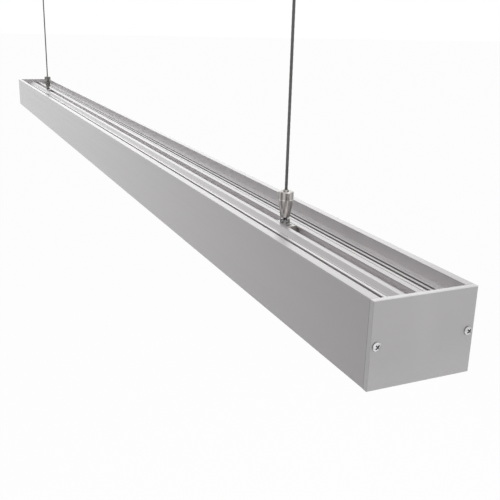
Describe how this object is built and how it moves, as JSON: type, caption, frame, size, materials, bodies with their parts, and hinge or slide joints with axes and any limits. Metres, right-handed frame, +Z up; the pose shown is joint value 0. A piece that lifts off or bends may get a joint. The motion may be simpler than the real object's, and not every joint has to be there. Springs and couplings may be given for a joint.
{
  "type": "linear pendant light",
  "caption": "Slim aluminium linear pendant light with a recessed T-slot top, opal diffuser and two wire hangers with cable grippers and ceiling fittings.",
  "frame": {"origin": "on the ceiling plane, midway between the two ceiling fittings", "axes": "+X along the light towards its near end, +Y across it, +Z up; the light hangs below the origin"},
  "size_m": [1.2228, 0.06, 0.221],
  "materials": {
    "anodised": "satin silver anodised, fine drawing lines",
    "cap_anodised": "satin silver anodised",
    "bright_screw": "bright zinc plated",
    "nickel": "satin nickel plated brass",
    "dark_steel": "black oxide",
    "spring_steel": "drawn",
    "wire_rope": "twisted galvanised strands",
    "opal": "opal extruded acrylic",
    "tray_white": "white powder coat",
    "board_white": "white solder mask",
    "led_phosphor": "phosphor under clear resin",
    "driver_plastic": "moulded, fine texture",
    "circuit_green": "solder mask and components",
    "terminal_plastic": "moulded nylon",
    "brass_screw": "turned",
    "grommet_rubber": "moulded",
    "lead_brown": "insulation",
    "lead_green": "insulation",
    "lead_red": "insulation"
  },
  "bodies": {
    "ceiling_fittings": {"near_ceiling_base": "nickel", "far_ceiling_base": "nickel", "near_ceiling_cap": "nickel", "far_ceiling_cap": "nickel"},
    "wires": {"near_wire": "wire_rope", "far_wire": "wire_rope", "near_wire_ball": "nickel", "far_wire_ball": "nickel"},
    "near_hanger": {"near_slot_nut": "nickel", "near_grub_screw": "dark_steel", "near_stud": "bright_screw", "near_lock_nut": "bright_screw", "near_gripper_body": "nickel", "near_plunger_spring": "spring_steel"},
    "far_hanger": {"far_slot_nut": "nickel", "far_grub_screw": "dark_steel", "far_stud": "bright_screw", "far_lock_nut": "bright_screw", "far_gripper_body": "nickel", "far_plunger_spring": "spring_steel"},
    "near_release": {"near_plunger": "nickel", "near_clamp_balls": "spring_steel"},
    "far_release": {"far_plunger": "nickel", "far_clamp_balls": "spring_steel"},
    "light": {"body_extrusion": "anodised", "near_end_cap": "cap_anodised", "far_end_cap": "cap_anodised", "near_cap_screws": "bright_screw", "far_cap_screws": "bright_screw", "diffuser": "opal", "led_tray": "tray_white", "led_boards": "board_white", "led_chips": "led_phosphor", "board_screws": "bright_screw", "driver_case": "driver_plastic", "driver_cover": "driver_plastic", "driver_board": "circuit_green", "driver_screws": "bright_screw", "terminal_block": "terminal_plastic", "terminal_screws": "bright_screw", "earth_screw": "brass_screw", "earth_tag": "bright_screw", "cable_grommet": "grommet_rubber", "supply_leads": "lead_brown", "earth_lead": "lead_green", "led_leads": "lead_red"}
  },
  "joints": [
    {"name": "swing", "type": "hinge", "parent": "ceiling_fittings", "child": "wires", "pos_m": [0, 0, -0.0168], "axis": [1, 0, 0], "range_deg": [-12, 12]},
    {"name": "near_height", "type": "slide", "parent": "wires", "child": "near_hanger", "axis": [0, 0, 1], "range_m": [0, 0.1], "deforming": ["near_wire"]},
    {"name": "far_height", "type": "slide", "parent": "wires", "child": "far_hanger", "axis": [0, 0, 1], "range_m": [0, 0.1], "deforming": ["far_wire"]},
    {"name": "slot_slide", "type": "slide", "parent": "near_hanger", "child": "light", "axis": [1, 0, 0], "range_m": [-0.135, 0.135]},
    {"name": "near_press", "type": "slide", "parent": "near_hanger", "child": "near_release", "axis": [0, 0, -1], "range_m": [0, 0.0009], "stiffness_N_per_m": 600, "springref_m": -0.004, "deforming": ["near_plunger_spring"]},
    {"name": "far_press", "type": "slide", "parent": "far_hanger", "child": "far_release", "axis": [0, 0, -1], "range_m": [0, 0.0009], "stiffness_N_per_m": 600, "springref_m": -0.004, "deforming": ["far_plunger_spring"]}
  ],
  "couplings": [
    {"joint": "far_height", "follows": "near_height", "ratio": 1}
  ]
}
